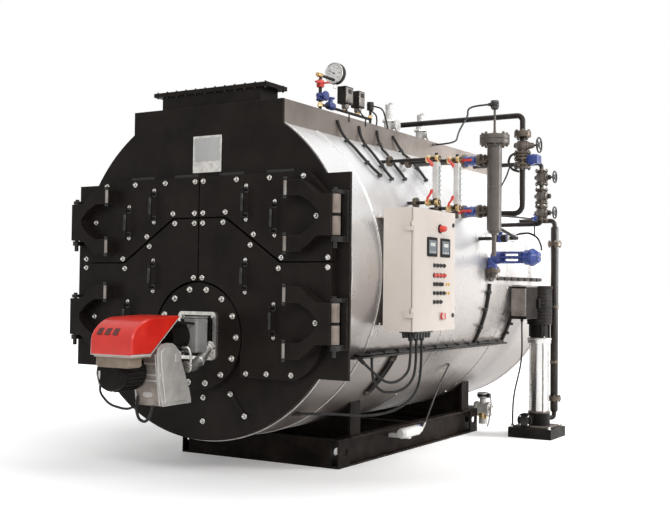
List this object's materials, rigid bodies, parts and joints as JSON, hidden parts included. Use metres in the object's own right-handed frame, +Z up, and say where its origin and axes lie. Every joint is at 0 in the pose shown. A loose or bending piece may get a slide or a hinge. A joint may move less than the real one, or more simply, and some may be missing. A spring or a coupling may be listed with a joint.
{
  "type": "industrial steam boiler",
  "caption": "Horizontal fire-tube steam boiler on a base frame, with smoke box doors, burner, control panel, level gauges, valves and feed pump.",
  "frame": {"origin": "on the floor, at the middle of the base frame, both across and along", "axes": "+X towards the side with the control panel, +Y from the door front to the rear, +Z up"},
  "size_m": [2.811, 4.641, 2.866],
  "materials": {
    "dark_paint": "satin black-brown paint",
    "cladding": "bright brushed sheet",
    "deck_grey": "matt grey-brown",
    "rail_paint": "dark paint",
    "red_gloss": "gloss red",
    "cast_grey": "light grey cast",
    "burner_grey": "grey",
    "motor_dark": "dark grey",
    "panel_beige": "pale powder coat",
    "pipe_black": "black pipe",
    "column_brown": "dark brown-grey",
    "valve_blue": "blue",
    "brass": "worn brass and steel",
    "white_metal": "light grey",
    "wheel_black": "black",
    "stainless": "polished sleeve",
    "cable_black": "black",
    "filter_white": "white"
  },
  "bodies": {
    "boiler": {"base_frame": "rail_paint", "saddles": "rail_paint", "boiler_shell": "cladding", "rear_end": "dark_paint", "smoke_box": "cladding", "tube_plate": "dark_paint", "deck": "deck_grey", "front_plate": "dark_paint", "flue_neck": "dark_paint", "hinge_brackets": "dark_paint", "burner_plate": "dark_paint", "burner_flange": "burner_grey", "burner_housing": "cast_grey", "burner_hood": "red_gloss", "burner_motor": "motor_dark", "panel_box": "panel_beige", "cable_glands": "motor_dark", "level_gauges": "brass", "level_column": "column_brown", "steam_pipe": "pipe_black", "stop_valve": "pipe_black", "drain_stack": "pipe_black", "control_valve": "valve_blue", "lever_valve": "valve_blue", "safety_valves": "white_metal", "gauge_stand": "pipe_black", "pump_base": "motor_dark", "pump_body": "stainless", "pump_motor": "motor_dark", "feed_pipe": "pipe_black", "blowdown_valve": "valve_blue", "drain_filter": "filter_white", "cable_tray": "motor_dark", "loop_short": "cable_black", "loop_mid": "cable_black", "loop_long": "cable_black", "probe_cable": "cable_black", "pump_cable": "cable_black"},
    "door_upper_left": {"door_upper_left": "dark_paint"},
    "door_upper_right": {"door_upper_right": "dark_paint"},
    "door_lower_left": {"door_lower_left": "dark_paint"},
    "door_lower_right": {"door_lower_right": "dark_paint"},
    "panel_door": {"panel_door": "panel_beige"},
    "stop_wheel": {"stop_wheel": "wheel_black"},
    "drain_wheel_upper": {"drain_wheel_upper": "wheel_black"},
    "drain_wheel_lower": {"drain_wheel_lower": "wheel_black"}
  },
  "joints": [
    {"name": "door_upper_left_swing", "type": "hinge", "parent": "boiler", "child": "door_upper_left", "pos_m": [-1.088, -1.94, 1.7], "axis": [0, 0, -1], "range_deg": [0, 100]},
    {"name": "door_upper_right_swing", "type": "hinge", "parent": "boiler", "child": "door_upper_right", "pos_m": [1.088, -1.94, 1.7], "axis": [0, 0, 1], "range_deg": [0, 100]},
    {"name": "door_lower_left_swing", "type": "hinge", "parent": "boiler", "child": "door_lower_left", "pos_m": [-1.088, -1.94, 1.03], "axis": [0, 0, -1], "range_deg": [0, 100]},
    {"name": "door_lower_right_swing", "type": "hinge", "parent": "boiler", "child": "door_lower_right", "pos_m": [1.088, -1.94, 1.03], "axis": [0, 0, 1], "range_deg": [0, 100]},
    {"name": "panel_door_swing", "type": "hinge", "parent": "boiler", "child": "panel_door", "pos_m": [1.374, -1.459, 1.375], "axis": [0, 0, -1], "range_deg": [0, 110]},
    {"name": "stop_wheel_turn", "type": "hinge", "parent": "boiler", "child": "stop_wheel", "pos_m": [1.656, 0.073, 2.345], "axis": [1, 0, 0], "range_deg": [0, 360]},
    {"name": "drain_wheel_upper_turn", "type": "hinge", "parent": "boiler", "child": "drain_wheel_upper", "pos_m": [1.556, 0.718, 2.172], "axis": [1, 0, 0], "range_deg": [0, 360]},
    {"name": "drain_wheel_lower_turn", "type": "hinge", "parent": "boiler", "child": "drain_wheel_lower", "pos_m": [1.556, 0.718, 1.882], "axis": [1, 0, 0], "range_deg": [0, 360]}
  ]
}
